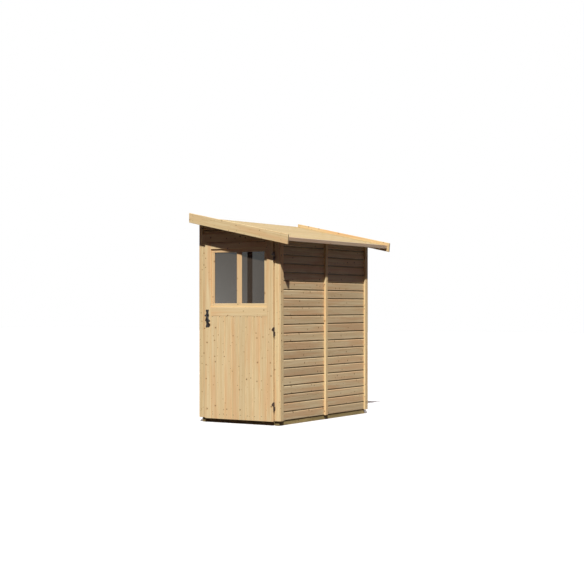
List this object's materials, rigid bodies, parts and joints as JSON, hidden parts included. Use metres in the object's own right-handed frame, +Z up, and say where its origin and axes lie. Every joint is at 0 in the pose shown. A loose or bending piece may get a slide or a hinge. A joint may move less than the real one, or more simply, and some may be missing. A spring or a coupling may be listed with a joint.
{
  "type": "garden shed",
  "caption": "Small lean-to garden shed in planed softwood with a single pitch board roof, a half glazed hinged door and an open framed house side.",
  "frame": {"origin": "ground level, under the middle runner, in the middle of the wall footprint", "axes": "+Z up, -Y the door end, +X the low eave side, -X the high open side that stands against a house wall"},
  "size_m": [1.186, 2.112, 2.1227],
  "materials": {
    "treated_timber": "rough sawn, pressure treated green brown",
    "wall_boards": "planed softwood, clear finish",
    "trim_boards": "planed softwood, clear finish",
    "framing": "sawn softwood",
    "roof_boards": "planed softwood, bare",
    "door_wood": "planed softwood, clear finish",
    "pane": "grey tinted clear sheet",
    "black_iron": "black powder coat, satin",
    "brown_steel": "brown lacquered steel, satin",
    "lock_steel": "dark lacquered steel"
  },
  "bodies": {
    "shed": {"base_cross_timbers": "treated_timber", "base_runners": "treated_timber", "floor_boards": "framing", "eave_wall_front": "wall_boards", "eave_wall_rear": "wall_boards", "rear_wall": "wall_boards", "front_gable": "wall_boards", "header_board": "trim_boards", "front_strips": "trim_boards", "side_corner_strips": "trim_boards", "rear_strips": "trim_boards", "side_batten": "trim_boards", "corner_posts": "framing", "house_side_posts": "framing", "side_wall_studs": "framing", "sill_rails": "framing", "rear_sill": "framing", "top_plates": "framing", "front_head_rail": "framing", "rear_head_rail": "framing", "door_sill": "framing", "rafters": "framing", "roof_deck": "roof_boards", "eave_strip": "trim_boards", "front_bargeboard": "trim_boards", "rear_bargeboard": "trim_boards", "hinge_barrels_fixed": "brown_steel"},
    "door": {"door_stiles": "door_wood", "door_top_rail": "door_wood", "door_lock_rail": "door_wood", "door_boards": "door_wood", "door_ledges": "framing", "window_jambs": "door_wood", "window_rails": "door_wood", "window_bar": "door_wood", "window_panes": "pane", "handle_plate": "black_iron", "lock_case": "lock_steel", "hinge_barrels_door": "brown_steel"},
    "lever": {"handle_lever": "black_iron"}
  },
  "joints": [
    {"name": "door_hinge", "type": "hinge", "parent": "shed", "child": "door", "pos_m": [0.423, -0.903, 0.929], "axis": [0, 0, 1], "range_deg": [0, 95]},
    {"name": "handle_turn", "type": "hinge", "parent": "door", "child": "lever", "pos_m": [-0.378, -0.92, 1.084], "axis": [0, 1, 0], "range_deg": [0, 35], "stiffness_Nm_per_rad": 0.8, "springref_deg": -20.05}
  ]
}
